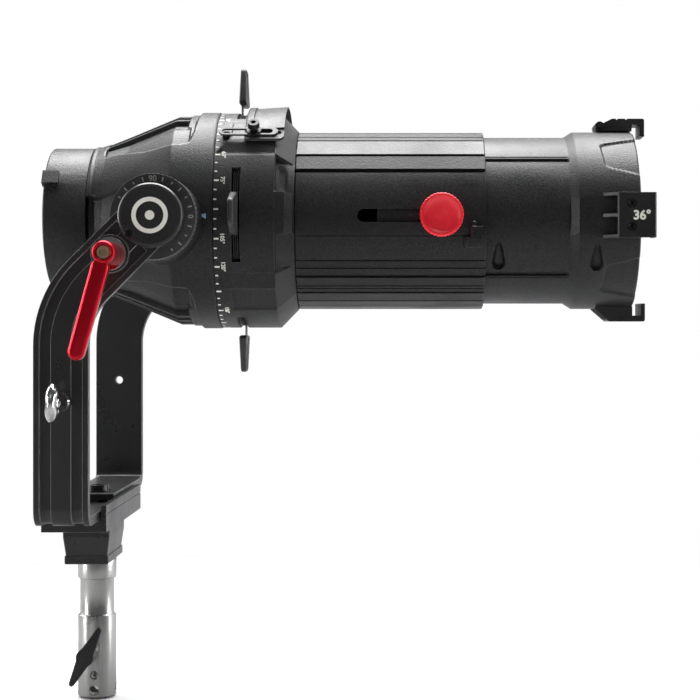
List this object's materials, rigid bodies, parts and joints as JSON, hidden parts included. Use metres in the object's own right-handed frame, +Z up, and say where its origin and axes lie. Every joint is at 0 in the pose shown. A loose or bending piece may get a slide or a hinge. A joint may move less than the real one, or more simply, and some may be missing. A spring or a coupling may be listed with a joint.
{
  "type": "ellipsoidal spotlight",
  "caption": "Profile spotlight with a rotating shutter gate, sliding focus tube and a two-arm yoke that tilts and clamps by a red lever, standing on a spigot.",
  "frame": {"origin": "centre of the mouth of the 16 mm stand socket at the bottom of the spigot", "axes": "+X along the beam, +Z up, -Y towards the side with the clamp lever and focus knob"},
  "size_m": [0.44, 0.2847, 0.468],
  "materials": {
    "housing_black": "textured powder coat",
    "satin_black": "satin",
    "black_plastic": "moulded",
    "black_oxide": "black oxide",
    "stainless": "brushed",
    "bright_steel": "bright",
    "red_anodised": "gloss anodised",
    "red_knob": "satin",
    "brass": "satin",
    "bare_aluminium": "satin",
    "glass": "clear",
    "nylon": "natural",
    "friction_fibre": "matt"
  },
  "bodies": {
    "yoke": {"spigot_pin": "stainless", "spigot_block": "satin_black", "cross_bracket": "satin_black", "spigot_bolt": "black_oxide", "near_arm": "satin_black", "far_arm": "satin_black", "near_hub_cap": "satin_black", "far_hub_cap": "satin_black", "hub_cap_screws": "black_oxide", "near_dial": "satin_black", "far_dial": "satin_black", "friction_discs": "friction_fibre", "pivot_bolts": "bright_steel", "pivot_nuts": "bright_steel", "clamp_washer": "bright_steel", "clamp_shoe": "black_plastic"},
    "clamp_spindle": {"clamp_spindle": "stainless", "lever_screw": "brass", "lever_spring": "bright_steel"},
    "clamp_lever": {"clamp_lever": "red_anodised"},
    "wing_screw": {"wing_screw": "bright_steel"},
    "socket_clamp": {"socket_clamp_stud": "stainless", "socket_clamp_handle": "black_plastic"},
    "housing": {"bayonet_collar": "housing_black", "collar_screws": "black_oxide", "housing_shell": "housing_black", "front_collar": "housing_black", "condenser_tube": "bare_aluminium", "rear_condenser": "glass", "front_condenser": "glass", "condenser_rings": "bare_aluminium", "bearing_strip": "nylon", "pivot_bushes": "brass"},
    "drum": {"drum_retainer": "bare_aluminium", "gate_drum": "housing_black", "drum_screws": "black_oxide", "gate_plate": "bare_aluminium", "shutter_spacers": "stainless", "gate_posts": "stainless", "drum_nose": "housing_black", "barrel": "housing_black", "glide_strips": "nylon"},
    "shutter_top": {"shutter_top": "stainless"},
    "shutter_near": {"shutter_near": "stainless"},
    "shutter_bottom": {"shutter_bottom": "stainless"},
    "shutter_far": {"shutter_far": "stainless"},
    "slot_cover": {"slot_cover": "housing_black", "cover_link": "satin_black"},
    "cover_thumb_screw": {"cover_thumb_screw": "black_oxide"},
    "focus_tube": {"lens_shell_upper": "housing_black", "lens_shell_lower": "housing_black", "lens_shell_screws": "black_oxide", "rear_lens": "glass", "front_lens": "glass", "lens_rings": "bare_aluminium", "accessory_holders": "black_plastic", "holder_screws": "black_oxide"},
    "focus_knob": {"focus_knob": "red_knob"},
    "tube_catch": {"tube_catch": "black_plastic"},
    "frame_latch": {"frame_latch": "black_plastic"}
  },
  "joints": [
    {"name": "tilt", "type": "hinge", "parent": "yoke", "child": "housing", "pos_m": [0.0585, 0, 0.351], "axis": [0, -1, 0], "range_deg": [-75, 90]},
    {"name": "drum_rotation", "type": "hinge", "parent": "housing", "child": "drum", "pos_m": [0.0585, 0, 0.355], "axis": [1, 0, 0], "range_deg": [-90, 90]},
    {"name": "focus_slide", "type": "slide", "parent": "drum", "child": "focus_tube", "axis": [1, 0, 0], "range_m": [-0.055, 0]},
    {"name": "focus_knob_turn", "type": "hinge", "parent": "focus_tube", "child": "focus_knob", "pos_m": [0.2565, 0, 0.355], "axis": [0, -1, 0], "continuous": true},
    {"name": "clamp_turn", "type": "hinge", "parent": "yoke", "child": "clamp_spindle", "pos_m": [0.03053, 0, 0.32528], "axis": [0, -1, 0], "range_deg": [-40, 110]},
    {"name": "clamp_lever_lift", "type": "slide", "parent": "clamp_spindle", "child": "clamp_lever", "axis": [0, -1, 0], "range_m": [0, 0.004], "deforming": ["lever_spring"]},
    {"name": "wing_screw_turn", "type": "hinge", "parent": "yoke", "child": "wing_screw", "pos_m": [-0.003, -0.12, 0.225], "axis": [0, -1, 0], "continuous": true},
    {"name": "socket_clamp_turn", "type": "hinge", "parent": "yoke", "child": "socket_clamp", "pos_m": [0, -0.02, 0.0375], "axis": [0, -1, 0], "continuous": true},
    {"name": "shutter_top_slide", "type": "slide", "parent": "drum", "child": "shutter_top", "axis": [0, 0, 1], "range_m": [-0.004, 0.032]},
    {"name": "shutter_near_slide", "type": "slide", "parent": "drum", "child": "shutter_near", "axis": [0, -1, 0], "range_m": [-0.004, 0.032]},
    {"name": "shutter_bottom_slide", "type": "slide", "parent": "drum", "child": "shutter_bottom", "axis": [0, 0, -1], "range_m": [-0.004, 0.032]},
    {"name": "shutter_far_slide", "type": "slide", "parent": "drum", "child": "shutter_far", "axis": [0, 1, 0], "range_m": [-0.004, 0.032]},
    {"name": "slot_cover_slide", "type": "slide", "parent": "drum", "child": "slot_cover", "axis": [1, 0, 0], "range_m": [0, 0.018]},
    {"name": "cover_screw_turn", "type": "hinge", "parent": "drum", "child": "cover_thumb_screw", "pos_m": [0.1225, -0.05557, 0.41255], "axis": [0, -0.6947, 0.7193], "continuous": true},
    {"name": "tube_catch_turn", "type": "hinge", "parent": "drum", "child": "tube_catch", "pos_m": [0.2799, -0.069, 0.3434], "axis": [0, 0, -1], "range_deg": [0, 80]},
    {"name": "frame_latch_turn", "type": "hinge", "parent": "focus_tube", "child": "frame_latch", "pos_m": [0.3755, 0, 0.425], "axis": [0, -1, 0], "range_deg": [0, 100]}
  ]
}
